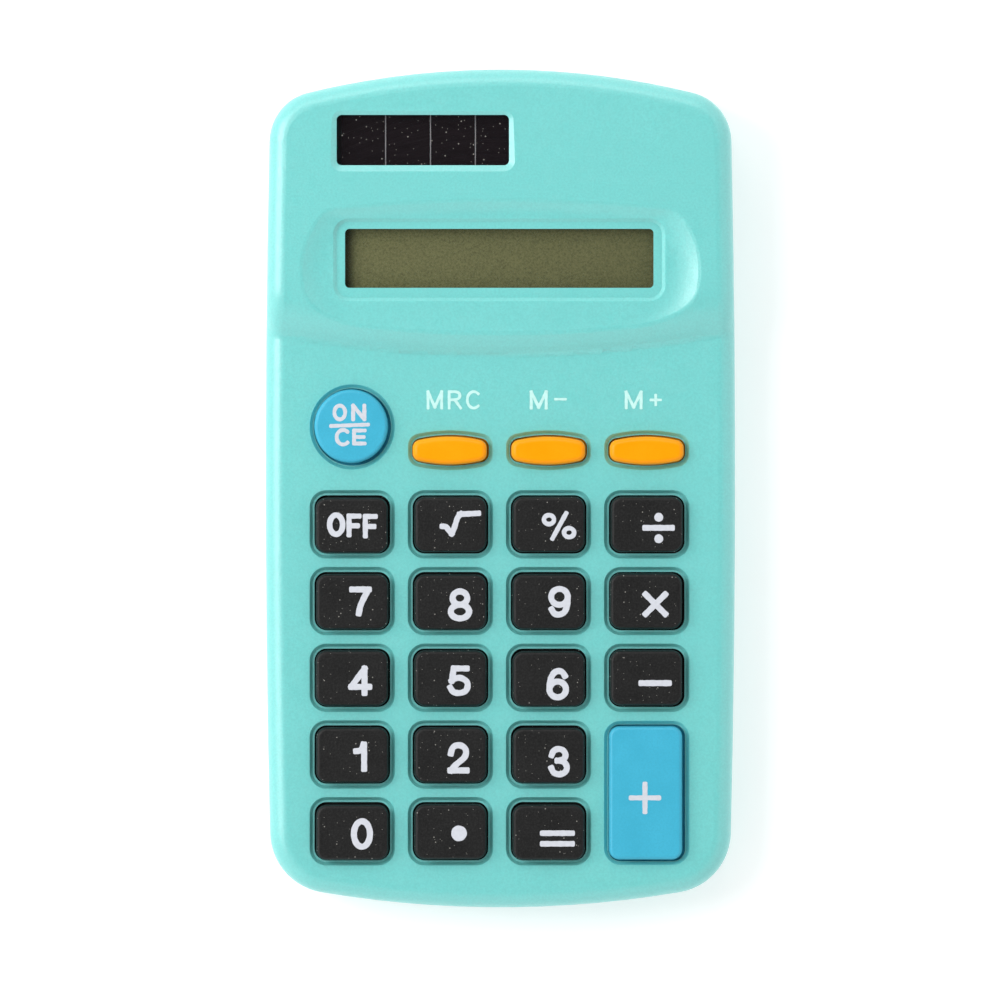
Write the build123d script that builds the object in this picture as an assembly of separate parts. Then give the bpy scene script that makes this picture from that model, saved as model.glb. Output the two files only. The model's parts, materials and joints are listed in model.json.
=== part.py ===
from build123d import *
from math import atan2, degrees, radians, tan
import os

# Desk calculator with a raised display head, 23 keys, a solar cell strip and a button cell.
# Millimetres. The origin is at the middle of the footprint on the plane that the feet stand on,
# +Y points to the display end and +Z points up out of the keys.

os.makedirs("parts", exist_ok=True)

# --- Case outline, seen from above ---
CASE_WIDTH = 65.0
CASE_LENGTH = 116.0
SIDE_ARC = 2100.0           # the long sides bow out very slightly
SIDE_ARC_Y = 2.0            # where the case is widest
TOP_ARC = 112.0
BOTTOM_ARC = 148.0
TOP_CORNER = 7.0
BOTTOM_CORNER = 8.5
DRAFT = 1.5                 # degrees, on the outer walls of both shells
WALL = 1.5

# --- Levels ---
FEET_HEIGHT = 0.8
BACK_Z = FEET_HEIGHT
PARTING_Z = 6.0
KEYPAD_Z = 10.6
HEAD_Z = 13.2
DISH_Z = HEAD_Z - 0.8
BACK_INNER_Z = BACK_Z + WALL
KEYPAD_INNER_Z = KEYPAD_Z - WALL
HEAD_INNER_Z = DISH_Z - WALL
SHELL_GAP = 0.02            # between parts of the case that touch
FUSE = 0.5                  # how far added material reaches into what it joins
PAST = 1.0                  # how far a cut runs past the surface it opens

# --- Head and dish ---
CREASE_Y = 18.45            # where the ramp of the head meets the keypad plane, on the centre line
CREASE_ARC = 168.0
RAMP_RUN = 3.45
CREASE_RADIUS = 1.4
CREST_RADIUS = 9.0
CROWN_Y = 44.0              # behind this line the head falls gently to the top edge
CROWN_DROP = 0.02           # fall per millimetre
CROWN_RADIUS = 300.0
EDGE_RADIUS = 2.4           # rounding of the top edges
BACK_EDGE_RADIUS = 1.6
DISH_HALF_LENGTH = 27.5
DISH_END_ARC = 11.5
DISH_END_Y = 30.2
DISH_END_BLEND = 12.0       # the ends sweep up in a wide concave curve
DISH_TOP_Y = 39.7
DISH_TOP_ARC = 218.0
DISH_TOP_BLEND = 4.5
DISH_CORNER_RADIUS = 3.0
DISH_RIM_RADIUS = 1.3
DISH_RIM_MARGIN = 0.02      # every rim edge lies at least this far above the floor of the dish
HEAD_WALL = 1.9             # the side walls of the head are thicker than the rest
INNER_HEAD_Y = 24.0         # the deep part of the cavity starts here

# --- Display ---
DISPLAY_X = -0.17
DISPLAY_Y = 31.77
WINDOW_SIZE = (42.6, 8.15)
WINDOW_CORNER = 0.6
WINDOW_RING = (45.85, 11.4)
WINDOW_RING_Y = DISPLAY_Y - 0.2
WINDOW_RING_CORNER = 2.2
WINDOW_RING_DEPTH = 0.4
WINDOW_RING_DRAFT = 50.0
LENS_SIZE = (46.6, 12.4)
LENS_THICKNESS = 0.8
LENS_TOP_Z = 11.3
LENS_CORNER = 0.4
SEAT_CLEARANCE = 0.2        # all round fit of the lens and the solar glass, both sides together
SEAT_CORNER = 0.5
LCD_GLASS = (46.0, 12.6)
LCD_GLASS_THICKNESS = 0.7
LCD_CORNER = 0.3
LCD_REAR_DEPTH = 11.0       # the rear glass is shorter, which leaves a ledge for the contacts
LCD_FILM = (45.0, 10.8)
LCD_FILM_THICKNESS = 0.2
LCD_TOP_Z = LENS_TOP_Z - LENS_THICKNESS - 0.05
ZEBRA_SIZE = (43.0, 1.2)
ZEBRA_CORNER = 0.2
LCD_RIB = 1.2
LCD_RIB_HALF = 5.0
LCD_RIB_GAP = 0.15
LCD_RIB_BOTTOM_Z = 8.8

# --- Solar strip ---
SOLAR_X = -10.72
SOLAR_Y = 48.08
SOLAR_SIZE = (23.8, 6.95)
SOLAR_CORNER = 0.7
SOLAR_BEVEL = 0.87
SOLAR_BEVEL_DEPTH = 0.45
SOLAR_BEVEL_START = 0.5     # the bevel is cut from this far above the head
SOLAR_GLASS_X = SOLAR_X + 1.05      # the glass lies off centre behind its window
SOLAR_GLASS = (27.4, 9.2)
SOLAR_GLASS_THICKNESS = 1.1
SOLAR_GLASS_TOP_Z = 12.3
SOLAR_GLASS_CORNER = 0.4
SOLAR_CELLS = 4
SOLAR_CELL_PITCH = 6.2
SOLAR_CELL_GAP = 0.2
SOLAR_CELL_THICKNESS = 0.1
SOLAR_CELL_MARGIN = 0.5
SOLAR_CELL_CORNER = 0.1

# --- Keys ---
COLUMN_PITCH = 13.56
COLUMN_CENTRE = -0.14
COLUMN_X = [COLUMN_CENTRE + COLUMN_PITCH * (column - 1.5) for column in range(4)]
ROW_PITCH = 10.6
FIRST_ROW_Y = -4.96
ROW_Y = [FIRST_ROW_Y - ROW_PITCH * row for row in range(5)]
MEMORY_Y = 5.28
ON_Y = 8.5
OVAL_BELLY = 1.85           # radius of the long sides of an oval key, as a part of its length
OVAL_CORNER = 0.3           # corner radius of an oval key, as a part of its height
KEY_TOP_Z = 12.0
KEY_TRAVEL = 1.0
KEY_EDGE = 0.45
OVAL_KEY_EDGE = 0.75
KEY_DRAFT = 4.0
OVAL_KEY_DRAFT = 2.0
KEY_WALL = 1.1
KEY_ROOF = 1.2
KEY_HOLLOW_CORNER = 0.6
KEY_POST_RADIUS = 1.6
FLANGE_THICKNESS = 0.75
FLANGE_TOP_Z = KEYPAD_INNER_Z - 0.05
FLANGE_LIP = 0.7
RING_DEPTH = 0.6
RING_DRAFT = 35.0
RING_FLOOR_Z = KEYPAD_Z - RING_DEPTH

# --- Mat, board and components ---
BOARD_TOP_Z = 5.9
BOARD_THICKNESS = 1.2
BOARD_SIZE = (57.0, 90.5)
BOARD_Y = -8.9
BOARD_CORNER = 7.0
PAD_RADIUS = 2.2
PAD_GAP = 0.5
PAD_THICKNESS = 0.1
MAT_THICKNESS = 0.8
MAT_MARGIN = 0.6
MAT_CORNER = 2.0
MAT_SCREW_GAP = 0.3
DOME_FUSE = 0.2
DOME_BASE_RADIUS = 2.9
DOME_TOP_RADIUS = 1.9
DOME_WALL = 0.45
DOME_TOP_Z = FLANGE_TOP_Z - FLANGE_THICKNESS - 0.1
PILL_RADIUS = 1.5
PILL_GAP = 0.1
PILL_THICKNESS = 0.4
PILL_BOTTOM_Z = BOARD_TOP_Z + KEY_TRAVEL
GLOB_AT = (4.0, 19.0)
GLOB_RADIUS = 5.0
GLOB_HEIGHT = 1.4
CAPACITORS = [(-9.0, 22.0), (-9.0, 17.5)]
CAPACITOR_SIZE = (3.2, 1.6, 1.3)
RESISTORS = [(-15.0, 22.0), (-15.0, 19.5), (15.0, 24.0)]
RESISTOR_SIZE = (2.0, 1.25, 0.6)

# --- Screws ---
CASE_SCREWS = [(-13.7, -53.3), (13.7, -53.3), (-27.0, 47.5), (27.0, 47.5)]
CASE_BOSS_RADIUS = 2.0
CASE_POST_RADIUS = 2.9
POST_CLEARANCE = 0.4        # around a post, where the board and the mat pass it
CASE_SCREW_RADIUS = 1.0
CASE_SCREW_HEAD_RADIUS = 1.8
CASE_SCREW_HEAD_HEIGHT = 1.2
CASE_SCREW_LENGTH = 5.8
CASE_HOLE_DEPTH = 3.6
CASE_SCREW_HEAD_Z = 3.6     # the bearing face in the counterbore
BOARD_SCREWS = [(-13.7, -10.35), (13.75, -10.35), (-13.7, -42.35), (0.02, -42.35),
                (-11.0, 14.6), (24.5, 14.6)]
BOARD_BOSS_RADIUS = 1.4
BOARD_SCREW_RADIUS = 0.7
BOARD_SCREW_HEAD_RADIUS = 1.4
BOARD_SCREW_HEAD_HEIGHT = 0.8
BOARD_SCREW_LENGTH = 4.0
BOARD_HOLE_DEPTH = 3.0
SCREW_CLEARANCE = 0.15
COUNTERBORE_CLEARANCE = 0.3
SLOT_WIDTH = 0.55
SLOT_REACH = 0.62           # half length of the crossed recess, as a part of the head's radius
SLOT_DEPTH = 0.6            # its depth, as a part of the head's height
SCREW_HEAD_ROUNDING = 0.35  # as a part of the head's height
SCREW_TIP_CHAMFER = 0.4     # as a part of the shank's radius

# --- Button cell and its door ---
CELL_RADIUS = 5.8
CELL_HEIGHT = 3.05
CELL_X = 10.0
CELL_Y = 45.5
CELL_BOTTOM_Z = 2.6
POCKET_RADIUS = CELL_RADIUS + 0.35
POCKET_WALL = 1.2
POCKET_CEILING_Z = 6.0
POCKET_TOP_Z = 7.2
TAB_TOP_Z = 8.1
CONTACT_THICKNESS = 0.25
CELL_CAP_RADIUS = 4.7
CELL_CAP_HEIGHT = 0.6
CELL_EDGE = 0.3
DIMPLE_RADIUS = 0.7
TAB_WIDTH = 2.4
TAB_Y = 43.0
POSITIVE_TAB_START = 1.0    # above the floor of the lower shell
SLOT_GAP = 0.05
DOOR_HALF_WIDTH = 8.0
DOOR_START_Y = 37.6
DOOR_GAP = 0.15
TONGUE_LIP = 0.9
TONGUE_Z = (1.45, 2.05)
RAIL_LEAD = 1.5             # how far the rails begin before the door
RAIL_WIDTH = 2.2
RAIL_TOP_Z = 3.2
GRIP_START = 5.0
GRIP_COUNT = 4
GRIP_PITCH = 1.6
GRIP_WIDTH = 0.7
GRIP_DEPTH = 0.35
GRIP_HALF = 4.5

# --- Feet ---
FOOT_RADIUS = 3.5
FOOT_SINK = 0.4
FOOT_EDGE = 0.3
FOOT_CLEARANCE = 0.1
FEET = [(-24.0, -38.0), (24.0, -38.0), (-24.0, 38.0), (24.0, 38.0)]

# --- Leads ---
LEAD_RADIUS = 0.45
LEAD_BEND = 1.0
LEAD_Z = 7.7
LEAD_PAD_INSET = 2.0        # from the edge of the board to the soldered ends


def save(name, shape):
    """Write one named part to its own file."""
    shape.label = name
    export_step(shape, f"parts/{name}.step")


def plate(size, corner, x, y, z, thickness, taper=0.0):
    """Rounded plate whose lower face is at z. A positive taper narrows it upwards."""
    profile = Pos(x, y, z) * RectangleRounded(size[0], size[1], corner)
    return extrude(profile, thickness, taper=taper)


def disc(radius, x, y, z, height):
    """Cylinder whose lower face is at z."""
    return Pos(x, y, z) * Cylinder(radius, height, align=(Align.CENTER, Align.CENTER, Align.MIN))


def block(low, high):
    """Box between two corners."""
    size = [high[i] - low[i] for i in range(3)]
    corner = (Align.MIN, Align.MIN, Align.MIN)
    return Pos(*low) * Box(size[0], size[1], size[2], align=corner)


def outline(z, inset=0.0):
    """Case outline at height z, moved inwards by inset: four large arcs with rounded corners."""
    half_length = CASE_LENGTH / 2
    side_centre = CASE_WIDTH / 2 - SIDE_ARC
    shape = Pos(side_centre, SIDE_ARC_Y) * Circle(SIDE_ARC - inset)
    shape &= Pos(-side_centre, SIDE_ARC_Y) * Circle(SIDE_ARC - inset)
    shape &= Pos(0, half_length - TOP_ARC) * Circle(TOP_ARC - inset)
    shape &= Pos(0, BOTTOM_ARC - half_length) * Circle(BOTTOM_ARC - inset)
    corners = shape.vertices().sort_by(Axis.Y)
    shape = fillet(corners[-2:], TOP_CORNER - inset)
    corners = shape.vertices().sort_by(Axis.Y)
    shape = fillet(corners[:2], BOTTOM_CORNER - inset)
    return Pos(0, 0, z) * shape


# ---------------------------------------------------------------- keys

class Key:
    """One keycap: its name, its place and the shape of its outline."""

    def __init__(self, name, x, y, face, ring, hole, shape="rounded"):
        self.name = name
        self.x = x
        self.y = y
        self.settle = SETTLED.get(name, (0.0, 0.0))     # where the loose keycap lies in its hole
        self.face = face        # size of the keycap where it passes the opening
        self.ring = ring        # size of the sunken ring around the opening
        self.hole = hole        # size of the opening
        self.shape = shape

    def profile(self, size, corner):
        """Outline of this key's kind: a rounded rectangle, a circle or a barrel-shaped oval."""
        if self.shape == "round":
            return Circle(size[0] / 2)
        if self.shape == "oval":
            belly = size[0] * OVAL_BELLY
            oval = Pos(0, size[1] / 2 - belly) * Circle(belly)
            oval &= Pos(0, belly - size[1] / 2) * Circle(belly)
            oval &= Rectangle(size[0], size[1])
            return fillet(oval.vertices(), size[1] * OVAL_CORNER)
        return RectangleRounded(size[0], size[1], corner)

    def column(self, size, corner, z, height, taper=0.0):
        """Straight or tapered column on this key's outline."""
        base = Pos(self.x, self.y, z) * self.profile(size, corner)
        if self.shape == "oval" and taper:
            inset = abs(height) * tan(radians(taper))
            end_size = (size[0] - 2 * inset, size[1] - 2 * inset)
            end = Pos(self.x, self.y, z + height) * self.profile(end_size, corner)
            return loft([base, end], ruled=True)
        return extrude(base, height, taper=taper)


RECT_FACE = (10.05, 7.7)
RECT_RING = (11.8, 9.45)
RECT_HOLE = (10.45, 8.05)
PLUS_FACE = (10.2, 18.5)
PLUS_RING = (11.8, 19.9)
PLUS_HOLE = (10.6, 18.9)
ROUND_FACE = (10.25, 10.25)
ROUND_RING = (11.8, 11.8)
ROUND_HOLE = (10.7, 10.7)
OVAL_FACE = (10.3, 3.95)
OVAL_RING = (11.7, 5.5)
OVAL_HOLE = (10.65, 4.25)
FACE_CORNER = 1.5
HOLE_CORNER = 1.65
RING_CORNER = 2.3

# Keycaps are loose in their holes, so some rest a little off centre.
SETTLED = {
    "key_off": (-0.08, -0.12),
    "key_8": (0.0, -0.14),
    "key_6": (0.0, -0.14),
    "key_3": (0.0, -0.14),
    "key_equals": (0.0, -0.14),
    "key_0": (0.0, -0.15),
    "key_point": (0.0, -0.06),
    "key_7": (0.0, -0.08),
    "key_9": (0.0, -0.08),
    "key_5": (0.0, -0.04),
    "key_1": (0.0, -0.06),
    "key_2": (0.0, -0.06),
    "key_4": (-0.06, -0.03),
    "key_multiply": (-0.12, 0.0),
    "key_minus": (-0.1, 0.0),
    "key_plus": (-0.16, 0.0),
    "key_on_ce": (-0.16, 0.1),
    "key_memory_recall": (-0.1, -0.04),
    "key_memory_minus": (-0.04, -0.05),
    "key_memory_plus": (0.0, -0.05),
}

GRID = [
    ["off", "root", "percent", "divide"],
    ["7", "8", "9", "multiply"],
    ["4", "5", "6", "minus"],
    ["1", "2", "3", None],
    ["0", "point", "equals", None],
]


def make_keys():
    """The list of all 23 keys."""
    keys = []
    for row, names in enumerate(GRID):
        for column, name in enumerate(names):
            if name is not None:
                place = (COLUMN_X[column], ROW_Y[row])
                keys.append(Key(f"key_{name}", *place, RECT_FACE, RECT_RING, RECT_HOLE))
    plus_y = (ROW_Y[3] + ROW_Y[4]) / 2
    keys.append(Key("key_plus", COLUMN_X[3], plus_y, PLUS_FACE, PLUS_RING, PLUS_HOLE))
    keys.append(Key("key_on_ce", COLUMN_X[0], ON_Y, ROUND_FACE, ROUND_RING, ROUND_HOLE, "round"))
    for column, name in enumerate(["memory_recall", "memory_minus", "memory_plus"]):
        x = COLUMN_X[column + 1]
        keys.append(Key(f"key_{name}", x, MEMORY_Y, OVAL_FACE, OVAL_RING, OVAL_HOLE, "oval"))
    return keys


def key_opening(key):
    """What one key removes from the front cover: a sunken ring with sloping sides, then the hole."""
    ring = key.column(key.ring, RING_CORNER, KEYPAD_Z, -RING_DEPTH, taper=RING_DRAFT)
    hole = key.column(key.hole, HOLE_CORNER, KEYPAD_INNER_Z - PAST, WALL + PAST)
    return ring + hole


def keycap(key):
    """Hollow keycap with a retaining flange and a post that stands over the dome."""
    flange_z = FLANGE_TOP_Z - FLANGE_THICKNESS
    flange_size = (key.hole[0] + FLANGE_LIP, key.hole[1] + FLANGE_LIP)
    flange = key.column(flange_size, HOLE_CORNER, flange_z, FLANGE_THICKNESS)
    neck = key.column(key.face, FACE_CORNER, FLANGE_TOP_Z, RING_FLOOR_Z - FLANGE_TOP_Z)
    oval = key.shape == "oval"
    draft = OVAL_KEY_DRAFT if oval else KEY_DRAFT
    edge_radius = OVAL_KEY_EDGE if oval else KEY_EDGE
    crown = key.column(key.face, FACE_CORNER, RING_FLOOR_Z, KEY_TOP_Z - RING_FLOOR_Z, taper=draft)
    crown = fillet(crown.faces().sort_by(Axis.Z)[-1].edges(), edge_radius)
    body = flange + neck + crown
    if key.face[1] > 2 * (KEY_WALL + KEY_POST_RADIUS):
        hollow_size = (key.face[0] - 2 * KEY_WALL, key.face[1] - 2 * KEY_WALL)
        hollow = key.column(hollow_size, KEY_HOLLOW_CORNER, flange_z, KEY_TOP_Z - KEY_ROOF - flange_z)
        body = body - hollow
        body = body + disc(KEY_POST_RADIUS, key.x, key.y, flange_z, KEY_TOP_Z - KEY_ROOF - flange_z)
    return Pos(key.settle[0], key.settle[1], 0) * body


# ---------------------------------------------------------------- case shells

def head_profile_tool():
    """Everything above the top surface: keypad plane, crease, ramp, crest and the crowned head."""
    far = 90.0
    axis_y = CREASE_Y + CREASE_ARC
    path = FilletPolyline(
        (0, -far, KEYPAD_Z),
        (0, CREASE_Y, KEYPAD_Z),
        (0, CREASE_Y + RAMP_RUN, HEAD_Z),
        (0, CROWN_Y, HEAD_Z),
        (0, far, HEAD_Z - (far - CROWN_Y) * CROWN_DROP),
        radius=[CREASE_RADIUS, CREST_RADIUS, CROWN_RADIUS],
    )
    top = Polyline(path @ 1, (0, far, 2 * HEAD_Z), (0, -far, 2 * HEAD_Z), path @ 0)
    profile = make_face([path, top])
    axis = Axis((0, axis_y, 0), (0, 0, 1))
    return revolve(profile, axis, 360).rotate(axis, 180)


def dish_tool():
    """The shallow dish around the display, with wide concave ends and a gently curved upper wall."""
    end_x = DISH_HALF_LENGTH - DISH_END_ARC
    depth = HEAD_Z - DISH_Z
    tool_height = 2 * DISH_END_BLEND
    sweep_out = (DISH_END_BLEND ** 2 - (DISH_END_BLEND - depth) ** 2) ** 0.5
    radius = DISH_END_ARC - sweep_out + DISH_END_BLEND
    ends = extrude(Pos(0, DISH_END_Y, DISH_Z) * SlotCenterToCenter(2 * end_x, 2 * radius), tool_height)
    ends = fillet(ends.faces().sort_by(Axis.Z)[0].edges(), DISH_END_BLEND)
    lip = (DISH_TOP_BLEND ** 2 - (DISH_TOP_BLEND - depth) ** 2) ** 0.5
    top_radius = DISH_TOP_ARC - lip + DISH_TOP_BLEND
    top = disc(top_radius, 0, DISH_TOP_Y - DISH_TOP_ARC, DISH_Z, tool_height)
    top = fillet(top.faces().sort_by(Axis.Z)[0].edges(), DISH_TOP_BLEND)
    tool = ends & top
    corners = []
    for edge in tool.edges():
        heights = edge.bounding_box()
        crosses_wall = heights.min.Z < DISH_Z + DISH_RIM_MARGIN and heights.max.Z > HEAD_Z
        if crosses_wall and edge.position_at(0.5).Y > DISH_END_Y:
            corners.append(edge)
    return fillet(ShapeList(corners), DISH_CORNER_RADIUS)


def window_opening():
    """The display's sunken ring, its window and the seat of the lens behind it."""
    ring_z = DISH_Z - WINDOW_RING_DEPTH
    centre = (DISPLAY_X, DISPLAY_Y)
    ring_outline = RectangleRounded(*WINDOW_RING, WINDOW_RING_CORNER)
    ring_outline = Pos(DISPLAY_X, WINDOW_RING_Y, DISH_Z) * ring_outline
    ring = extrude(ring_outline, -WINDOW_RING_DEPTH, taper=WINDOW_RING_DRAFT)
    ring = ring + extrude(ring_outline, HEAD_Z - DISH_Z + PAST)
    low_z = HEAD_INNER_Z - PAST
    window = plate(WINDOW_SIZE, WINDOW_CORNER, *centre, low_z, ring_z + WINDOW_RING_DEPTH / 2 - low_z)
    seat_size = (LENS_SIZE[0] + SEAT_CLEARANCE, LENS_SIZE[1] + SEAT_CLEARANCE)
    seat = plate(seat_size, SEAT_CORNER, *centre, low_z, LENS_TOP_Z + SHELL_GAP - low_z)
    return ring + window + seat


def solar_opening():
    """The bevelled solar window and the seat of its glass."""
    top_z = HEAD_Z + SOLAR_BEVEL_START
    bevel_draft = degrees(atan2(SOLAR_BEVEL, SOLAR_BEVEL_DEPTH))
    reach = SOLAR_BEVEL / SOLAR_BEVEL_DEPTH * (top_z - HEAD_Z)
    grow = 2 * (SOLAR_BEVEL + reach)
    bevel_size = (SOLAR_SIZE[0] + grow, SOLAR_SIZE[1] + grow)
    bevel = extrude(
        Pos(SOLAR_X, SOLAR_Y, top_z) * RectangleRounded(*bevel_size, SOLAR_CORNER + grow / 2),
        -(SOLAR_BEVEL_DEPTH + top_z - HEAD_Z),
        taper=bevel_draft,
    )
    low_z = HEAD_INNER_Z - PAST
    window_height = HEAD_Z - SOLAR_BEVEL_DEPTH / 2 - low_z
    window = plate(SOLAR_SIZE, SOLAR_CORNER, SOLAR_X, SOLAR_Y, low_z, window_height)
    seat_size = (SOLAR_GLASS[0] + SEAT_CLEARANCE, SOLAR_GLASS[1] + SEAT_CLEARANCE)
    seat_height = SOLAR_GLASS_TOP_Z + SHELL_GAP - low_z
    seat = plate(seat_size, SEAT_CORNER, SOLAR_GLASS_X, SOLAR_Y, low_z, seat_height)
    return bevel + window + seat


def rim_edges(shape, low_z):
    """Edges of the top rim: they lie on the outside of the case and start above low_z."""
    rim = []
    for edge in shape.edges():
        middle = edge.position_at(0.5)
        outside = abs(middle.X) > CASE_WIDTH / 2 - 4.0 or abs(middle.Y) > CASE_LENGTH / 2 - 7.0
        if outside and edge.bounding_box().min.Z > low_z:
            rim.append(edge)
    return ShapeList(rim)


def dish_rim(shape):
    """The closed rim of the dish: level edges in the head, then down and along the ramp."""
    rim = []
    for edge in shape.edges():
        middle = edge.position_at(0.5)
        inside = abs(middle.X) < DISH_HALF_LENGTH + 0.5 and CREASE_Y < middle.Y < DISH_TOP_Y + 1.0
        if inside and edge.bounding_box().min.Z > DISH_Z + DISH_RIM_MARGIN:
            rim.append(edge)
    return ShapeList(rim)


def front_cover(keys):
    """Upper shell: head, dish, openings, bosses and ribs in one moulding."""
    body = extrude(outline(PARTING_Z), HEAD_Z - PARTING_Z + PAST, taper=DRAFT)
    body = body - head_profile_tool()
    body = fillet(rim_edges(body, KEYPAD_Z - 0.05), EDGE_RADIUS)
    body = body - dish_tool()
    body = fillet(dish_rim(body), DISH_RIM_RADIUS)
    cavity = extrude(outline(PARTING_Z, WALL), KEYPAD_INNER_Z - PARTING_Z, taper=DRAFT)
    head_cavity = extrude(outline(PARTING_Z, HEAD_WALL), HEAD_INNER_Z - PARTING_Z, taper=DRAFT)
    half = CASE_WIDTH / 2
    cavity = cavity + (head_cavity & block((-half, INNER_HEAD_Y, 0), (half, CASE_LENGTH / 2, HEAD_Z)))
    body = body - cavity
    bosses = []
    holes = []
    for x, y in CASE_SCREWS:
        ceiling = HEAD_INNER_Z if y > INNER_HEAD_Y else KEYPAD_INNER_Z
        bosses.append(disc(CASE_BOSS_RADIUS, x, y, PARTING_Z, ceiling - PARTING_Z + FUSE))
        holes.append(disc(CASE_SCREW_RADIUS + SHELL_GAP, x, y, PARTING_Z, CASE_HOLE_DEPTH))
    for x, y in BOARD_SCREWS:
        bosses.append(disc(BOARD_BOSS_RADIUS, x, y, BOARD_TOP_Z, KEYPAD_INNER_Z - BOARD_TOP_Z + FUSE))
        holes.append(disc(BOARD_SCREW_RADIUS + SHELL_GAP, x, y, BOARD_TOP_Z, BOARD_HOLE_DEPTH))
    for side in (-1, 1):
        inner = LCD_GLASS[0] / 2 + LCD_RIB_GAP
        low = (DISPLAY_X + side * inner, DISPLAY_Y - LCD_RIB_HALF, LCD_RIB_BOTTOM_Z)
        high = (DISPLAY_X + side * (inner + LCD_RIB), DISPLAY_Y + LCD_RIB_HALF, HEAD_INNER_Z + FUSE)
        bosses.append(block((min(low[0], high[0]), *low[1:]), (max(low[0], high[0]), *high[1:])))
    body = body + bosses
    body = body - holes
    body = body - [key_opening(key) for key in keys]
    body = body - [window_opening(), solar_opening()]
    return body


def back_blank():
    """Outside of the lower shell, before the door is parted from it."""
    body = extrude(outline(PARTING_Z - SHELL_GAP), -(PARTING_Z - SHELL_GAP - BACK_Z), taper=DRAFT)
    return fillet(body.faces().sort_by(Axis.Z)[0].edges(), BACK_EDGE_RADIUS)


def door_region(gap):
    """The space of the door in the floor of the lower shell, with its two side tongues."""
    far = CASE_LENGTH
    half = DOOR_HALF_WIDTH + gap
    start = DOOR_START_Y - gap
    slab = block((CELL_X - half, start, 0), (CELL_X + half, far, BACK_INNER_Z + gap))
    lip = half + TONGUE_LIP
    tongues = block((CELL_X - lip, start, TONGUE_Z[0] - gap), (CELL_X + lip, far, TONGUE_Z[1] + gap))
    return slab + tongues


def rear_cover():
    """Lower shell: floor, walls, screw posts, foot recesses, cell pocket and door rails."""
    outside = back_blank()
    depth = PARTING_Z - BACK_INNER_Z
    cavity = Pos(0, 0, BACK_INNER_Z) * extrude(outline(0, WALL + 0.2), depth)
    body = outside - cavity
    post_height = PARTING_Z - SHELL_GAP - BACK_INNER_Z + FUSE
    posts = [disc(CASE_POST_RADIUS, x, y, BACK_INNER_Z - FUSE, post_height) for x, y in CASE_SCREWS]
    rail_half = DOOR_HALF_WIDTH + RAIL_WIDTH
    rail_low = (CELL_X - rail_half, DOOR_START_Y - RAIL_LEAD, BACK_INNER_Z - FUSE)
    rail_high = (CELL_X + rail_half, CASE_LENGTH / 2, RAIL_TOP_Z)
    inside_parts = posts + [block(rail_low, rail_high)]
    body = body + [part & outside for part in inside_parts]
    pocket_height = POCKET_TOP_Z - BACK_INNER_Z
    body = body + disc(POCKET_RADIUS + POCKET_WALL, CELL_X, CELL_Y, BACK_INNER_Z, pocket_height)
    cuts = [disc(POCKET_RADIUS, CELL_X, CELL_Y, 0, POCKET_CEILING_Z), door_region(DOOR_GAP)]
    for x, y in CASE_SCREWS:
        cuts.append(disc(CASE_SCREW_RADIUS + SCREW_CLEARANCE, x, y, 0, PARTING_Z + PAST))
        cuts.append(disc(CASE_SCREW_HEAD_RADIUS + COUNTERBORE_CLEARANCE, x, y, 0, CASE_SCREW_HEAD_Z))
    for x, y in FEET:
        cuts.append(disc(FOOT_RADIUS + FOOT_CLEARANCE, x, y, 0, BACK_Z + FOOT_SINK))
    for tab in (negative_tab(SLOT_GAP), positive_tab(SLOT_GAP)):
        cuts.append(tab)
    return body - cuts


def battery_door():
    """Sliding door: a piece of the lower shell's floor that runs out over the top end."""
    door = back_blank() & door_region(0)
    grip_y = DOOR_START_Y + GRIP_START
    grooves = []
    for groove in range(GRIP_COUNT):
        y = grip_y + GRIP_PITCH * groove
        high = (CELL_X + GRIP_HALF, y + GRIP_WIDTH, BACK_Z + GRIP_DEPTH)
        grooves.append(block((CELL_X - GRIP_HALF, y, 0), high))
    return door - grooves


def rubber_feet():
    """Four round feet with a rounded lower edge."""
    height = BACK_Z + FOOT_SINK - SHELL_GAP
    feet = []
    for x, y in FEET:
        foot = disc(FOOT_RADIUS, x, y, 0, height)
        feet.append(fillet(foot.faces().sort_by(Axis.Z)[0].edges(), FOOT_EDGE))
    return Compound(children=feet)


def screw(x, y, seat_z, head_radius, head_height, radius, length):
    """Pan-head screw with a crossed recess, driven upwards, its bearing face at seat_z."""
    head = disc(head_radius, x, y, seat_z - head_height, head_height)
    head = fillet(head.faces().sort_by(Axis.Z)[0].edges(), head_height * SCREW_HEAD_ROUNDING)
    shank = disc(radius, x, y, seat_z, length)
    shank = chamfer(shank.faces().sort_by(Axis.Z)[-1].edges(), radius * SCREW_TIP_CHAMFER)
    reach = head_radius * SLOT_REACH
    half = SLOT_WIDTH / 2
    low_z = seat_z - head_height
    depth = head_height * SLOT_DEPTH
    slot_x = block((x - reach, y - half, low_z), (x + reach, y + half, low_z + depth))
    slot_y = block((x - half, y - reach, low_z), (x + half, y + reach, low_z + depth))
    return head + shank - [slot_x, slot_y]


def case_screws():
    screws = []
    for x, y in CASE_SCREWS:
        screws.append(screw(x, y, CASE_SCREW_HEAD_Z, CASE_SCREW_HEAD_RADIUS, CASE_SCREW_HEAD_HEIGHT,
                            CASE_SCREW_RADIUS, CASE_SCREW_LENGTH))
    return Compound(children=screws)


def board_screws():
    seat_z = BOARD_TOP_Z - BOARD_THICKNESS
    screws = []
    for x, y in BOARD_SCREWS:
        screws.append(screw(x, y, seat_z, BOARD_SCREW_HEAD_RADIUS, BOARD_SCREW_HEAD_HEIGHT,
                            BOARD_SCREW_RADIUS, BOARD_SCREW_LENGTH))
    return Compound(children=screws)


# ---------------------------------------------------------------- display

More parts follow.
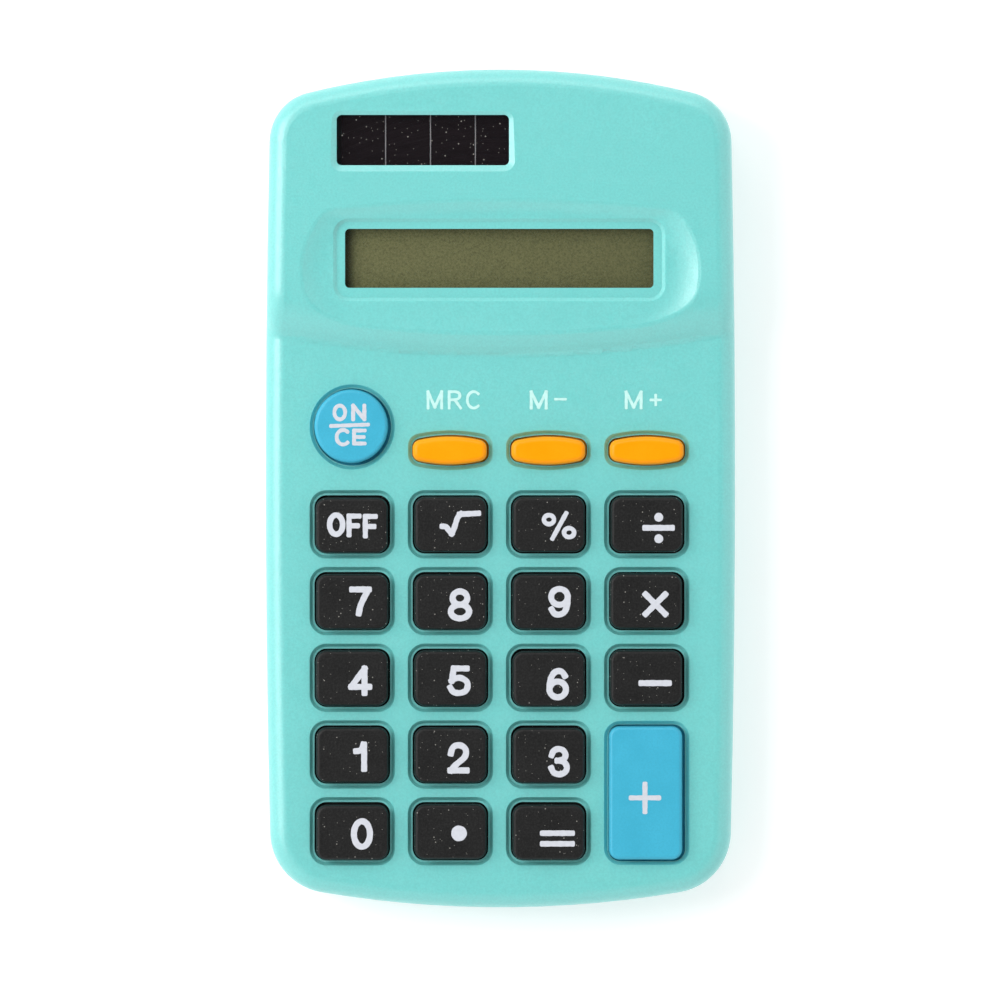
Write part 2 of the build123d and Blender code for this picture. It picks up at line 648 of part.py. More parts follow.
def display_window():
    """Clear lens, held behind the window opening."""
    bottom_z = LENS_TOP_Z - LENS_THICKNESS
    return plate(LENS_SIZE, LENS_CORNER, DISPLAY_X, DISPLAY_Y, bottom_z, LENS_THICKNESS)


def display_stack():
    """Front polariser, the two glass plates and the reflector, from the top down."""
    film_y = DISPLAY_Y + (LCD_GLASS[1] - LCD_REAR_DEPTH) / 2
    glass_z = LCD_TOP_Z - LCD_FILM_THICKNESS - LCD_GLASS_THICKNESS
    rear_z = glass_z - LCD_GLASS_THICKNESS
    film_z = rear_z - LCD_FILM_THICKNESS
    rear_size = (LCD_GLASS[0], LCD_REAR_DEPTH)
    layers = [
        ("lcd_front_polarizer", LCD_FILM, film_y, LCD_TOP_Z - LCD_FILM_THICKNESS, LCD_FILM_THICKNESS),
        ("lcd_front_glass", LCD_GLASS, DISPLAY_Y, glass_z, LCD_GLASS_THICKNESS),
        ("lcd_rear_glass", rear_size, film_y, rear_z, LCD_GLASS_THICKNESS),
        ("lcd_reflector", LCD_FILM, film_y, film_z, LCD_FILM_THICKNESS),
    ]
    stack = {}
    for name, size, y, z, thickness in layers:
        stack[name] = plate(size, LCD_CORNER, DISPLAY_X, y, z, thickness)
    return stack


def zebra_connector():
    """Elastomer strip that stands on the board and carries the free ledge of the front glass."""
    top_z = LCD_TOP_Z - LCD_FILM_THICKNESS - LCD_GLASS_THICKNESS
    ledge = LCD_GLASS[1] - LCD_REAR_DEPTH
    y = DISPLAY_Y - LCD_GLASS[1] / 2 + ledge / 2
    return plate(ZEBRA_SIZE, ZEBRA_CORNER, DISPLAY_X, y, BOARD_TOP_Z, top_z - BOARD_TOP_Z)


# ---------------------------------------------------------------- solar strip

def solar_cell_glass():
    """Glass plate behind the solar window."""
    bottom_z = SOLAR_GLASS_TOP_Z - SOLAR_GLASS_THICKNESS
    place = (SOLAR_GLASS_X, SOLAR_Y, bottom_z)
    return plate(SOLAR_GLASS, SOLAR_GLASS_CORNER, *place, SOLAR_GLASS_THICKNESS)


def solar_cell_layer():
    """Four cells side by side on the lower face of the glass."""
    z = SOLAR_GLASS_TOP_Z - SOLAR_GLASS_THICKNESS - SOLAR_CELL_THICKNESS
    cell_size = (SOLAR_CELL_PITCH - SOLAR_CELL_GAP, SOLAR_GLASS[1] - 2 * SOLAR_CELL_MARGIN)
    cells = []
    for cell in range(SOLAR_CELLS):
        x = SOLAR_GLASS_X + SOLAR_CELL_PITCH * (cell - (SOLAR_CELLS - 1) / 2)
        cells.append(plate(cell_size, SOLAR_CELL_CORNER, x, SOLAR_Y, z, SOLAR_CELL_THICKNESS))
    return Compound(children=cells)


# ---------------------------------------------------------------- mat and board

def board_outline(size, corner, centre_y, z, thickness):
    """Plate inside the case, cut clear of the screw posts."""
    body = plate(size, corner, 0, centre_y, z, thickness)
    radius = CASE_POST_RADIUS + POST_CLEARANCE
    posts = [disc(radius, x, y, z - PAST, thickness + 2 * PAST) for x, y in CASE_SCREWS]
    return body - posts


def circuit_board():
    """Printed board with a hole for each of its screws."""
    z = BOARD_TOP_Z - BOARD_THICKNESS
    body = board_outline(BOARD_SIZE, BOARD_CORNER, BOARD_Y, z, BOARD_THICKNESS)
    radius = BOARD_SCREW_RADIUS + SCREW_CLEARANCE
    holes = [disc(radius, x, y, z - PAST, BOARD_THICKNESS + 2 * PAST) for x, y in BOARD_SCREWS]
    return body - holes


def contact_pads(keys):
    """Two half-round carbon pads under each dome."""
    pads = []
    for key in keys:
        round_pad = disc(PAD_RADIUS, key.x, key.y, BOARD_TOP_Z, PAD_THICKNESS)
        for side in (-1, 1):
            near = side * PAD_GAP / 2
            far = side * (PAD_RADIUS + PAST)
            low = (key.x + min(near, far), key.y - PAD_RADIUS - PAST, 0)
            high = (key.x + max(near, far), key.y + PAD_RADIUS + PAST, BOARD_TOP_Z + PAST)
            pads.append((round_pad & block(low, high)).solids()[0])
    return Compound(children=pads)


def keypad_mat(keys):
    """Silicone mat: a sheet on the board with one hollow dome under each key."""
    low_y = min(key.y - key.face[1] / 2 for key in keys) - MAT_MARGIN
    high_y = max(key.y + key.face[1] / 2 for key in keys) - MAT_MARGIN
    half_x = max(abs(key.x) + key.face[0] / 2 for key in keys) + MAT_MARGIN
    size = (2 * half_x, high_y - low_y)
    sheet_top_z = BOARD_TOP_Z + MAT_THICKNESS
    body = board_outline(size, MAT_CORNER, (low_y + high_y) / 2, BOARD_TOP_Z, MAT_THICKNESS)
    dome_height = DOME_TOP_Z - sheet_top_z + DOME_FUSE
    cavity_height = PILL_BOTTOM_Z + PILL_THICKNESS - BOARD_TOP_Z
    align = (Align.CENTER, Align.CENTER, Align.MIN)
    domes = []
    cuts = []
    for key in keys:
        dome = Cone(DOME_BASE_RADIUS, DOME_TOP_RADIUS, dome_height, align=align)
        domes.append(Pos(key.x, key.y, sheet_top_z - DOME_FUSE) * dome)
        cavity = Cone(DOME_BASE_RADIUS - DOME_WALL, PILL_RADIUS + PILL_GAP, cavity_height, align=align)
        cuts.append(Pos(key.x, key.y, BOARD_TOP_Z) * cavity)
    for x, y in BOARD_SCREWS:
        cuts.append(disc(BOARD_BOSS_RADIUS + MAT_SCREW_GAP, x, y, 0, 2 * PARTING_Z))
    return body + domes - cuts


def contact_pills(keys):
    """Conductive pill in the roof of each dome, one travel above its pads."""
    pills = [disc(PILL_RADIUS, key.x, key.y, PILL_BOTTOM_Z, PILL_THICKNESS) for key in keys]
    return Compound(children=pills)


def chip_glob():
    """Bare chip on the underside of the board, under a round cap of epoxy."""
    board_z = BOARD_TOP_Z - BOARD_THICKNESS
    sphere_radius = (GLOB_RADIUS ** 2 + GLOB_HEIGHT ** 2) / (2 * GLOB_HEIGHT)
    ball = Pos(*GLOB_AT, board_z - GLOB_HEIGHT + sphere_radius) * Sphere(sphere_radius)
    x, y = GLOB_AT
    reach = 2 * GLOB_RADIUS
    return ball & block((x - reach, y - reach, 0), (x + reach, y + reach, board_z))


def chips(places, size):
    """Small surface-mounted blocks on the underside of the board."""
    board_z = BOARD_TOP_Z - BOARD_THICKNESS
    parts = []
    for x, y in places:
        low = (x - size[0] / 2, y - size[1] / 2, board_z - size[2])
        parts.append(block(low, (x + size[0] / 2, y + size[1] / 2, board_z)))
    return Compound(children=parts)


# ---------------------------------------------------------------- power

def battery_cell():
    """Button cell: wide can below, narrower cap above."""
    can_height = CELL_HEIGHT - CELL_CAP_HEIGHT
    can = disc(CELL_RADIUS, CELL_X, CELL_Y, CELL_BOTTOM_Z, can_height)
    can = fillet(can.edges().filter_by(GeomType.CIRCLE), CELL_EDGE)
    return can + disc(CELL_CAP_RADIUS, CELL_X, CELL_Y, CELL_BOTTOM_Z + can_height, CELL_CAP_HEIGHT)


def negative_tab(gap):
    """Solder tab of the upper contact, through the roof of the pocket."""
    low = (CELL_X - TAB_WIDTH / 2 - gap, TAB_Y - gap, POCKET_CEILING_Z - CONTACT_THICKNESS)
    high = (CELL_X + TAB_WIDTH / 2 + gap, TAB_Y + CONTACT_THICKNESS + gap, TAB_TOP_Z)
    return block(low, high)


def positive_tab(gap):
    """Solder tab of the side contact, through the roof of the pocket."""
    x = CELL_X - CELL_RADIUS - CONTACT_THICKNESS
    low = (x - gap, TAB_Y - gap, BACK_INNER_Z + POSITIVE_TAB_START)
    high = (x + CONTACT_THICKNESS + gap, TAB_Y + TAB_WIDTH + gap, TAB_TOP_Z)
    return block(low, high)


def battery_contact_negative():
    """Flat strip over the cell, with a dimple that presses on its cap."""
    half = TAB_WIDTH / 2
    low = (CELL_X - half, TAB_Y, POCKET_CEILING_Z - CONTACT_THICKNESS)
    strip = block(low, (CELL_X + half, 2 * CELL_Y - TAB_Y, POCKET_CEILING_Z))
    cell_top = CELL_BOTTOM_Z + CELL_HEIGHT
    dimple_height = POCKET_CEILING_Z - CONTACT_THICKNESS - cell_top
    dimple = disc(DIMPLE_RADIUS, CELL_X, CELL_Y, cell_top, dimple_height)
    return strip + dimple + negative_tab(0)


def battery_contact_positive():
    """Upright strip beside the cell, bent from the same stock."""
    return positive_tab(0) - disc(CELL_RADIUS + SHELL_GAP, CELL_X, CELL_Y, 0, PARTING_Z)


def lead(points):
    """Insulated wire on straight runs with round bends."""
    path = FilletPolyline(*points, radius=LEAD_BEND)
    start = Plane(origin=path @ 0, z_dir=path % 0)
    return sweep(start * Circle(LEAD_RADIUS), path=path)


def leads():
    """The four wires from the cell and the solar strip down to the board."""
    pad_y = BOARD_Y + BOARD_SIZE[1] / 2 - LEAD_PAD_INSET
    positive_x = CELL_X - CELL_RADIUS - CONTACT_THICKNESS / 2
    cell_z = SOLAR_GLASS_TOP_Z - SOLAR_GLASS_THICKNESS - SOLAR_CELL_THICKNESS
    wires = {}
    for name, x in (("battery_lead_red", positive_x), ("battery_lead_black", CELL_X)):
        wires[name] = lead([(x, TAB_Y, LEAD_Z), (x, pad_y, LEAD_Z), (x, pad_y, BOARD_TOP_Z)])
    for name, side in (("solar_lead_red", -1), ("solar_lead_black", 1)):
        x = SOLAR_GLASS_X + side * SOLAR_CELL_PITCH * (SOLAR_CELLS - 1) / 2
        wires[name] = lead([(x, SOLAR_Y, cell_z), (x, SOLAR_Y, LEAD_Z), (x, pad_y, LEAD_Z),
                            (x, pad_y, BOARD_TOP_Z)])
    return wires


def build():
    """Make and save every part."""
    keys = make_keys()
    for key in keys:
        save(key.name, keycap(key))
    save("front_cover", front_cover(keys))
    save("rear_cover", rear_cover())
    save("battery_door", battery_door())
    save("rubber_feet", rubber_feet())
    save("case_screws", case_screws())
    save("board_screws", board_screws())
    save("display_window", display_window())
    for name, shape in display_stack().items():
        save(name, shape)
    save("zebra_connector", zebra_connector())
    save("solar_cell_glass", solar_cell_glass())
    save("solar_cell_layer", solar_cell_layer())
    save("circuit_board", circuit_board())
    save("contact_pads", contact_pads(keys))
    save("keypad_mat", keypad_mat(keys))
    save("contact_pills", contact_pills(keys))
    save("chip_glob", chip_glob())
    save("capacitors", chips(CAPACITORS, CAPACITOR_SIZE))
    save("resistors", chips(RESISTORS, RESISTOR_SIZE))
    save("battery_cell", battery_cell())
    save("battery_contact_positive", battery_contact_positive())
    save("battery_contact_negative", battery_contact_negative())
    for name, shape in leads().items():
        save(name, shape)


build()
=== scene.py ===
"""Desk calculator: materials, printed legends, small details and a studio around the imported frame."""

import json
import math
import random

import bmesh
import bpy
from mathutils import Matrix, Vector

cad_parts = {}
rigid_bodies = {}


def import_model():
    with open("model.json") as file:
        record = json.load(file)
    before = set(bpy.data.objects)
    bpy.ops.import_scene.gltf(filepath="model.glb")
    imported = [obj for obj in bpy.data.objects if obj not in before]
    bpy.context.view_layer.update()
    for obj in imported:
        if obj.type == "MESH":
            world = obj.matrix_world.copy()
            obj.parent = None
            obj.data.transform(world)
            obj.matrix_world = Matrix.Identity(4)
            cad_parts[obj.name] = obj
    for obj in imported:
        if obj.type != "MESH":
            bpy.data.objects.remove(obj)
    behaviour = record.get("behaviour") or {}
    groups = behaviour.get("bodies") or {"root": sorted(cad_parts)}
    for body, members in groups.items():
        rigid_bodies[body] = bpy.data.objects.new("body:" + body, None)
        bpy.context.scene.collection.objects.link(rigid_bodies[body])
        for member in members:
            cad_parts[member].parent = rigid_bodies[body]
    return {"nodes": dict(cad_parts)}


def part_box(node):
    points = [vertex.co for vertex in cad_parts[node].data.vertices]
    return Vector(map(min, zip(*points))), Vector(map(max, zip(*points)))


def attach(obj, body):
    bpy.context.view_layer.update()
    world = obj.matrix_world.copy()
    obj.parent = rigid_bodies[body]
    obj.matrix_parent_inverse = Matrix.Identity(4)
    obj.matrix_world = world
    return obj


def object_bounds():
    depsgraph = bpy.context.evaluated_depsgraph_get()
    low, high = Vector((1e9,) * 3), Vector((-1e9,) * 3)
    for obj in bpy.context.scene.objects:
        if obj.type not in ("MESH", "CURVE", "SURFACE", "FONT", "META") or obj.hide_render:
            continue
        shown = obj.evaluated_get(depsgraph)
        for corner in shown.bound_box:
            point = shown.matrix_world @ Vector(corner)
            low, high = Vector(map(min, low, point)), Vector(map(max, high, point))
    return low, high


# Nothing that a start-up file brings along stays.
for leftover in list(bpy.data.objects):
    bpy.data.objects.remove(leftover)

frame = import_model()
cad_low, cad_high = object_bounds()
nodes = frame["nodes"]

MM = 0.001
SEED = 7


# ---------------------------------------------------------------- colours

def linear(red, green, blue):
    """Linear colour from the 0 to 255 values of a screen."""
    result = []
    for value in (red, green, blue):
        value /= 255.0
        result.append(value / 12.92 if value <= 0.04045 else ((value + 0.055) / 1.055) ** 2.4)
    return tuple(result)


def shade(color, factor):
    """A lighter or darker version of a colour."""
    return tuple(min(1.0, channel * factor) for channel in color)


CASE_COLOR = (0.175, 0.63, 0.605)
BLACK_COLOR = linear(20, 20, 20)
BLUE_COLOR = linear(60, 171, 201)
ORANGE_COLOR = (0.98, 0.335, 0.0)
WHITE_INK_COLOR = linear(203, 206, 214)
MINT_INK_COLOR = linear(192, 236, 230)
DUST_COLOR = linear(150, 148, 142)
FILM_LEFT = linear(119, 119, 79)
FILM_RIGHT = linear(108, 108, 71)
FILM_WALL_SHADOW = (0.034, 0.06)       # painted shadow of the window's left wall on the film: where it starts to fade and where it is gone, as parts of the film's length
LENS_COLORS = ((0.05, 0.06, 0.05), (0.1, 0.11, 0.09))
LENS_ALPHA = 0.08
SOLAR_GLASS_COLOR = (0.02, 0.015, 0.018)
SOLAR_GLASS_ALPHA = 0.25
SOLAR_CELL_COLORS = (linear(24, 20, 23), linear(34, 28, 32))
BOARD_COLORS = (linear(24, 78, 44), linear(42, 108, 62))
SEAM_COLOR = linear(214, 214, 218)
FLOOR_COLORS = ((0.74, 0.74, 0.74), (0.76, 0.76, 0.76))


# ---------------------------------------------------------------- material helpers

class Material:
    """One node-based material, built up call by call."""

    def __init__(self, name, roughness, **sockets):
        self.data = bpy.data.materials.new(name)
        self.data.use_nodes = True
        self.tree = self.data.node_tree
        self.shader = self.tree.nodes["Principled BSDF"]
        self.shader.inputs["Roughness"].default_value = roughness
        for socket, value in sockets.items():
            self.shader.inputs[socket.replace("_", " ")].default_value = value
        self.coords = self.tree.nodes.new("ShaderNodeTexCoord").outputs["Object"]
        self.relief = None

    def node(self, kind, **settings):
        """A new node with some of its settings."""
        made = self.tree.nodes.new(kind)
        for key, value in settings.items():
            setattr(made, key, value)
        return made

    def link(self, source, target):
        self.tree.links.new(source, target)

    def drive(self, socket, source):
        """Let a texture set one of the shader's sockets."""
        self.link(source, self.shader.inputs[socket])

    def noise(self, size, detail=2.0, rough=0.5, stretch=(1, 1, 1)):
        """Noise whose features are about size metres across."""
        mapping = self.node("ShaderNodeMapping")
        mapping.inputs["Scale"].default_value = stretch
        self.link(self.coords, mapping.inputs["Vector"])
        made = self.node("ShaderNodeTexNoise")
        made.inputs["Scale"].default_value = 1.0 / size
        made.inputs["Detail"].default_value = detail
        made.inputs["Roughness"].default_value = rough
        self.link(mapping.outputs["Vector"], made.inputs["Vector"])
        return made.outputs["Fac"]

    def ramp(self, value, low=0.3, high=0.7, start=0.0, end=1.0):
        """Value between low and high, mapped to start and end. Most of a noise lies in 0.3 to 0.7."""
        made = self.node("ShaderNodeMapRange")
        for name, number in (("From Min", low), ("From Max", high), ("To Min", start), ("To Max", end)):
            made.inputs[name].default_value = number
        self.link(value, made.inputs["Value"])
        return made.outputs["Result"]

    def math(self, operation, a, b):
        """Arithmetic on two textures."""
        made = self.node("ShaderNodeMath", operation=operation)
        self.link(a, made.inputs[0])
        self.link(b, made.inputs[1])
        return made.outputs[0]

    def mix(self, factor, a, b):
        """Blend of two colours, each a texture or an RGB triple."""
        made = self.node("ShaderNodeMix", data_type="RGBA")
        self.link(factor, made.inputs["Factor"])
        for name, value in (("A", a), ("B", b)):
            socket = [s for s in made.inputs if s.name == name and s.type == "RGBA"][0]
            if isinstance(value, tuple):
                socket.default_value = (*value, 1.0)
            else:
                self.link(value, socket)
        return [s for s in made.outputs if s.type == "RGBA"][0]

    def specks(self, spacing, radius, share):
        """Round specks of up to radius metres, in a share of the cells of a scattered level grid."""
        core = 0.6
        step = 0.02
        cells = self.node("ShaderNodeTexVoronoi", voronoi_dimensions="2D")
        cells.inputs["Scale"].default_value = 1.0 / spacing
        self.link(self.coords, cells.inputs["Vector"])
        near = self.ramp(cells.outputs["Distance"], radius / spacing, core * radius / spacing)
        pick = self.node("ShaderNodeSeparateColor")
        self.link(cells.outputs["Color"], pick.inputs["Color"])
        chosen = self.ramp(pick.outputs["Red"], 1.0 - share, 1.0 - share + step)
        return self.math("MULTIPLY", near, chosen)

    def across(self, axis):
        """Place along an axis, from 0 at one end of the piece to 1 at the other."""
        parts = self.node("ShaderNodeSeparateXYZ")
        self.link(self.node("ShaderNodeTexCoord").outputs["Generated"], parts.inputs["Vector"])
        return parts.outputs[axis]

    def bump(self, height, depth):
        """Relief of depth metres. Later calls stack on earlier ones."""
        made = self.node("ShaderNodeBump")
        made.inputs["Strength"].default_value = 1.0
        made.inputs["Distance"].default_value = depth
        self.link(height, made.inputs["Height"])
        if self.relief is not None:
            self.link(self.relief, made.inputs["Normal"])
        self.relief = made.outputs["Normal"]
        self.drive("Normal", self.relief)


# ---------------------------------------------------------------- materials

def case_plastic():
    """Turquoise ABS with the fine spark-eroded grain of a mould, slightly uneven in tone."""
    made = Material(
        "turquoise_case",
        roughness=0.36,
        Specular_IOR_Level=1.0,
        Coat_Weight=0.3,
        Coat_Roughness=0.35,
        Subsurface_Weight=0.3,
        Subsurface_Scale=0.8 * MM,
        Subsurface_Radius=(0.4, 1.0, 0.95),
    )
    clouds = made.ramp(made.noise(9 * MM, detail=3.0))
    tone = made.mix(clouds, shade(CASE_COLOR, 0.985), shade(CASE_COLOR, 1.015))
    grain = made.noise(0.3 * MM, detail=3.0, rough=0.65)
    made.drive("Base Color", made.mix(made.ramp(grain, 0.38, 0.62), shade(CASE_COLOR, 0.92), tone))
    made.drive("Roughness", made.ramp(made.noise(1.2 * MM, detail=3.0), start=0.32, end=0.42))
    made.bump(grain, 0.03 * MM)
    made.bump(made.noise(0.7 * MM), 0.015 * MM)
    return made.data


def key_plastic(name, base, roughness, specular, grain_depth, grain_tones, dusty=False):
    """Satin key: fine grain that sparkles at the edges, on some keys with a little dust."""
    made = Material(name, roughness, Specular_IOR_Level=specular)
    grain = made.noise(0.26 * MM, detail=3.0, rough=0.65)
    clouds = made.noise(4 * MM, detail=3.0)
    tone = made.mix(made.ramp(clouds), shade(base, 0.94), shade(base, 1.06))
    pit_tone, peak_tone = grain_tones
    pitted = made.mix(made.ramp(grain, 0.35, 0.55), shade(base, pit_tone), tone)
    surface = made.mix(made.ramp(grain, 0.5, 0.7), pitted, shade(base, peak_tone))
    if dusty:
        big = made.specks(spacing=2.2 * MM, radius=0.09 * MM, share=0.3)
        small = made.specks(spacing=0.9 * MM, radius=0.05 * MM, share=0.3)
        surface = made.mix(made.math("MAXIMUM", big, small), surface, DUST_COLOR)
    made.drive("Base Color", surface)
    made.drive("Roughness", made.ramp(clouds, start=roughness - 0.05, end=roughness + 0.05))
    made.bump(grain, grain_depth)
    return made.data


def ink(name, base):
    """Screen-printed ink, thin and slightly uneven."""
    made = Material(name, roughness=0.55, Specular_IOR_Level=0.3)
    patches = made.ramp(made.noise(0.5 * MM, detail=3.0))
    made.drive("Base Color", made.mix(patches, shade(base, 0.93), shade(base, 1.03)))
    made.bump(made.noise(0.12 * MM), 0.006 * MM)
    return made.data


def clear_window():
    """Clear acrylic lens, seen almost straight through, with a faint polish mottle."""
    made = Material("clear_window", roughness=0.08, Specular_IOR_Level=0.5, Alpha=LENS_ALPHA)
    made.drive("Base Color", made.mix(made.noise(6 * MM), *LENS_COLORS))
    made.drive("Roughness", made.ramp(made.noise(1.5 * MM), start=0.05, end=0.1))
    return made.data


def display_film():
    """Olive polarising film with a fine grain, darker to the right, with a painted shadow of the window's
    left wall along its left edge.
    """
    made = Material("display_film", roughness=0.6, Specular_IOR_Level=0.1)
    along = made.across("X")
    slope = made.mix(along, FILM_LEFT, FILM_RIGHT)
    pits = made.mix(along, shade(FILM_LEFT, 0.55), shade(FILM_RIGHT, 0.55))
    grain = made.ramp(made.noise(0.28 * MM, detail=3.0, rough=0.7), 0.3, 0.6)
    film = made.mix(grain, pits, slope)
    # Painted shadow: the film's left edge is darkened where the window's wall would shade it.
    wall_shadow = made.ramp(along, *FILM_WALL_SHADOW)
    made.drive("Base Color", made.mix(wall_shadow, shade(FILM_LEFT, 0.22), film))
    made.bump(made.noise(0.2 * MM), 0.004 * MM)
    return made.data


def solar_glass():
    """Dark glossy plate with dust on it."""
    made = Material("solar_glass", roughness=0.1, Specular_IOR_Level=0.3)
    big = made.specks(spacing=1.8 * MM, radius=0.11 * MM, share=0.3)
    small = made.specks(spacing=0.8 * MM, radius=0.06 * MM, share=0.35)
    dust = made.math("MAXIMUM", big, small)
    made.drive("Base Color", made.mix(dust, SOLAR_GLASS_COLOR, DUST_COLOR))
    made.drive("Alpha", made.ramp(dust, 0.0, 1.0, start=SOLAR_GLASS_ALPHA, end=1.0))
    made.drive("Roughness", made.ramp(made.noise(2 * MM, detail=3.0), start=0.06, end=0.16))
    return made.data


def solar_cells():
    """Amorphous silicon: near black with a faint warm cast and streaks from its coating."""
    made = Material("solar_cells", roughness=0.3, Specular_IOR_Level=0.4)
    streaks = made.noise(0.7 * MM, detail=3.0, stretch=(0.15, 1, 1))
    made.drive("Base Color", made.mix(made.ramp(streaks), *SOLAR_CELL_COLORS))
    made.bump(streaks, 0.003 * MM)
    return made.data


def rubber(name, base):
    """Soft rubber with a matt, slightly pitted skin."""
    made = Material(name, roughness=0.8, Specular_IOR_Level=0.25)
    pits = made.noise(0.3 * MM, detail=4.0, rough=0.6)
    made.drive("Base Color", made.mix(made.ramp(pits), shade(base, 0.85), shade(base, 1.1)))
    made.drive("Roughness", made.ramp(pits, start=0.72, end=0.88))
    made.bump(pits, 0.02 * MM)
    return made.data


def metal(name, base, roughness, stretch):
    """Plated metal with brushing along one direction."""
    made = Material(name, roughness, Metallic=1.0)
    lines = made.noise(0.12 * MM, detail=3.0, rough=0.6, stretch=stretch)
    made.drive("Base Color", made.mix(made.ramp(lines), shade(base, 0.88), shade(base, 1.06)))
    made.drive("Roughness", made.ramp(lines, start=roughness - 0.07, end=roughness + 0.1))
    made.bump(lines, 0.004 * MM)
    return made.data


def board_lacquer():
    """Green solder resist with the weave of the board showing through."""
    made = Material("green_board", roughness=0.35)
    weave = made.noise(0.5 * MM, stretch=(1, 0.4, 1))
    made.drive("Base Color", made.mix(made.ramp(weave, 0.35, 0.65), *BOARD_COLORS))
    made.bump(weave, 0.01 * MM)
    return made.data


def coated(name, base, roughness):
    """Small glossy or satin part with a little unevenness."""
    made = Material(name, roughness)
    patches = made.ramp(made.noise(0.8 * MM, detail=3.0))
    made.drive("Base Color", made.mix(patches, shade(base, 0.9), shade(base, 1.08)))
    made.drive("Roughness", made.ramp(made.noise(0.4 * MM), start=roughness - 0.05, end=roughness + 0.08))
    made.bump(made.noise(0.25 * MM), 0.006 * MM)
    return made.data


def key_materials():
    """The finish of each key, by node name: two blue, three orange and the rest black."""
    black = key_plastic("black_key", BLACK_COLOR, roughness=0.48, specular=0.28, grain_depth=0.06 * MM,
                        grain_tones=(0.4, 2.0), dusty=True)
    blue = key_plastic("blue_key", BLUE_COLOR, roughness=0.45, specular=0.35, grain_depth=0.015 * MM,
                       grain_tones=(0.95, 1.03))
    orange = key_plastic("orange_key", ORANGE_COLOR, roughness=0.35, specular=0.2, grain_depth=0.005 * MM,
                         grain_tones=(0.97, 1.02))
    finish = {name: black for name in nodes if name.startswith("key_")}
    for name in ("key_plus", "key_on_ce"):
        finish[name] = blue
    for name in ("key_memory_recall", "key_memory_minus", "key_memory_plus"):
        finish[name] = orange
    return finish


def other_materials():
    """The finish of every node that isn't a key, by node name."""
    case = case_plastic()
    steel = metal("plated_steel", linear(190, 190, 192), 0.3, stretch=(1, 6, 1))
    contact = metal("contact_metal", linear(216, 202, 164), 0.3, stretch=(1, 8, 1))
    silicone = rubber("grey_silicone", linear(196, 196, 192))
    carbon = coated("carbon", linear(28, 28, 28), 0.6)
    red_wire = coated("red_insulation", linear(190, 30, 28), 0.4)
    black_wire = coated("black_insulation", linear(26, 26, 26), 0.4)
    return {
        "front_cover": case,
        "rear_cover": case,
        "battery_door": case,
        "display_window": clear_window(),
        "lcd_front_polarizer": display_film(),
        "lcd_front_glass": coated("display_glass", linear(170, 178, 160), 0.1),
        "lcd_rear_glass": coated("display_rear_glass", linear(160, 168, 150), 0.1),
        "lcd_reflector": coated("display_reflector", linear(150, 150, 130), 0.4),
        "zebra_connector": silicone,
        "solar_cell_glass": solar_glass(),
        "solar_cell_layer": solar_cells(),
        "keypad_mat": silicone,
        "contact_pills": carbon,
        "contact_pads": carbon,
        "circuit_board": board_lacquer(),
        "chip_glob": coated("black_epoxy", linear(22, 22, 22), 0.2),
        "capacitors": coated("ceramic", linear(150, 118, 84), 0.5),
        "resistors": coated("resistor_black", linear(30, 30, 32), 0.4),
        "battery_cell": metal("cell_steel", linear(208, 208, 206), 0.25, stretch=(1, 1, 8)),
        "battery_contact_positive": contact,
        "battery_contact_negative": contact,
        "battery_lead_red": red_wire,
        "battery_lead_black": black_wire,
        "solar_lead_red": red_wire,
        "solar_lead_black": black_wire,
        "rubber_feet": rubber("foot_rubber", linear(58, 60, 62)),
        "case_screws": steel,
        "board_screws": steel,
    }


def dress_cad_nodes():
    """Give every carried-over CAD node its own finished material."""
    finish = {**other_materials(), **key_materials()}
    for name, piece in nodes.items():
        piece.data.materials.clear()
        piece.data.materials.append(finish[name])


# ---------------------------------------------------------------- pen strokes

INK_HEIGHT = 0.018 * MM         # how far the ink stands above the surface, and reaches into it
INK_EDGE = 0.03 * MM            # width of its sloping edge
STROKE_STEP = 0.1 * MM          # distance between the cross-sections of a stroke
STROKE_RISE = 0.002 * MM        # each stroke of a sign is this much higher than the one before
# Height and length of each waver in a stroke's edges, and how much of the stroke's phase it takes.
STROKE_WOBBLES = [(0.012 * MM, 0.33 * MM, 1.0), (0.01 * MM, 0.14 * MM, 2.3)]
END_STEPS = (0.02, 0.15, 0.45, 1.0)     # cross-sections in a rounded end, as parts of its corner radius
WIDEST_CORNER = 0.48            # corner radius of a stroke's end, at most this part of its width
LEGEND_CORNER = 0.22            # millimetres
LABEL_CORNER = 0.1              # millimetres
ARC_STEP = 10                   # degrees
FLOW_STEPS = 6                  # steps between two of a flowing line's own points
DOT_POINTS = 40
# Height as a part of the radius, number of waves around the dot, and how much of its phase they take.
DOT_WOBBLES = [(0.012, 3, 1), (0.01, 7, 2)]


def arc(cx, cy, rx, ry, start=0, end=360):
    """Points along an ellipse, angles in degrees."""
    count = max(2, round(abs(end - start) / ARC_STEP))
    angles = [math.radians(start + (end - start) * i / count) for i in range(count + 1)]
    return [(cx + rx * math.cos(a), cy + ry * math.sin(a)) for a in angles]


def flow(*points):
    """Smooth curve through the points (Catmull-Rom)."""
    padded = [points[0], *points, points[-1]]
    result = []
    for i in range(1, len(padded) - 2):
        p0, p1, p2, p3 = padded[i - 1:i + 3]
        for step in range(FLOW_STEPS):
            t = step / FLOW_STEPS
            result.append(tuple(
                0.5 * (2 * b + (c - a) * t + (2 * a - 5 * b + 4 * c - d) * t * t
                       + (3 * b - a - 3 * c + d) * t * t * t)
                for a, b, c, d in zip(p0, p1, p2, p3)
            ))
    result.append(points[-1])
    return result


def resample(points):
    """The same line with short steps of even length, its ends kept."""
    result = [Vector(points[0])]
    for a, b in zip(points, points[1:]):
        a, b = Vector(a), Vector(b)
        count = max(1, round((b - a).length / STROKE_STEP))
        result += [a.lerp(b, (i + 1) / count) for i in range(count)]
    return result


